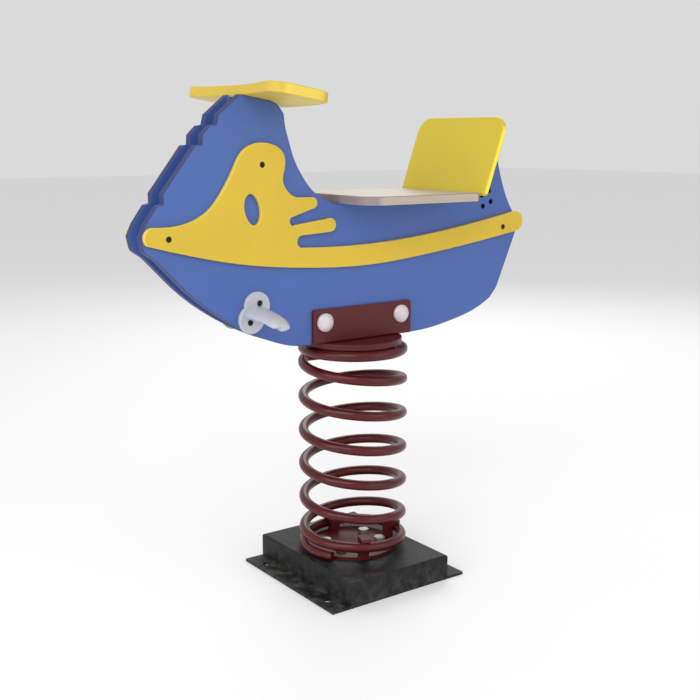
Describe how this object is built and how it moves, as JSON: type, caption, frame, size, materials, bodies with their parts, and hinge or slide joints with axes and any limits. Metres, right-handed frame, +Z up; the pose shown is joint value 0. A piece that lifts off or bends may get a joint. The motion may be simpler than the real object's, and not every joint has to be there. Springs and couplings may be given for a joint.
{
  "type": "spring rocker",
  "caption": "Playground spring rocker shaped as a small watercraft: plastic hull panels with seat, backrest, handle board and footrests on a coil spring and anchor base.",
  "frame": {"origin": "centre of the anchor bolt pattern at ground level, on the spring's axis", "axes": "+Z up, -Y towards the bow, +Y towards the stern, +X towards the rider's left (port) side"},
  "size_m": [0.297, 0.8097, 0.8848],
  "materials": {
    "base_black": "satin black powder coat",
    "spring_red": "semi-gloss dark red powder coat",
    "bracket_red": "semi-gloss dark red powder coat",
    "zinc": "zinc plated",
    "hull_blue": "fine-textured coloured polyethylene sheet",
    "trim_yellow": "fine-textured coloured polyethylene sheet",
    "back_yellow": "fine-textured coloured polyethylene sheet",
    "seat_grey": "fine-textured coloured polyethylene sheet",
    "cap_white": "moulded gloss",
    "footrest_grey": "moulded satin",
    "dark_screw": "black oxide"
  },
  "bodies": {
    "base": {"base_pan": "base_black", "lower_spring_retainer": "bracket_red", "lower_retainer_bolts": "zinc", "lower_retainer_nuts": "zinc"},
    "spring": {"coil_spring": "spring_red"},
    "rider": {"upper_spring_seat": "bracket_red", "upper_spring_retainer": "bracket_red", "upper_retainer_bolts": "zinc", "upper_retainer_nuts": "zinc", "saddle_bracket": "bracket_red", "bracket_spacers": "zinc", "bracket_bolts": "zinc", "bracket_nuts": "zinc", "port_bolt_caps": "cap_white", "starboard_bolt_caps": "cap_white", "port_hull_panel": "hull_blue", "starboard_hull_panel": "hull_blue", "port_trim_plate": "trim_yellow", "starboard_trim_plate": "trim_yellow", "hull_spacers": "zinc", "hull_bolts": "dark_screw", "hull_nuts": "dark_screw", "seat_board": "seat_grey", "seat_bracket": "zinc", "seat_screws": "zinc", "backrest_board": "back_yellow", "backrest_bracket": "zinc", "backrest_screws": "zinc", "handle_board": "trim_yellow", "handle_bracket": "zinc", "handle_screws": "zinc", "bracket_pins": "zinc", "port_footrest": "footrest_grey", "starboard_footrest": "footrest_grey", "footrest_screws": "dark_screw", "footrest_nuts": "zinc"}
  },
  "joints": [
    {"name": "rock_fore_aft", "type": "hinge", "parent": "base", "child": "spring", "pos_m": [0, 0, 0.155], "axis": [1, 0, 0], "range_deg": [-15, 15], "stiffness_Nm_per_rad": 300, "deforming": ["coil_spring"]},
    {"name": "rock_sideways", "type": "hinge", "parent": "spring", "child": "rider", "pos_m": [0, 0, 0.34], "axis": [0, 1, 0], "range_deg": [-10, 10], "stiffness_Nm_per_rad": 300, "deforming": ["coil_spring"]}
  ]
}
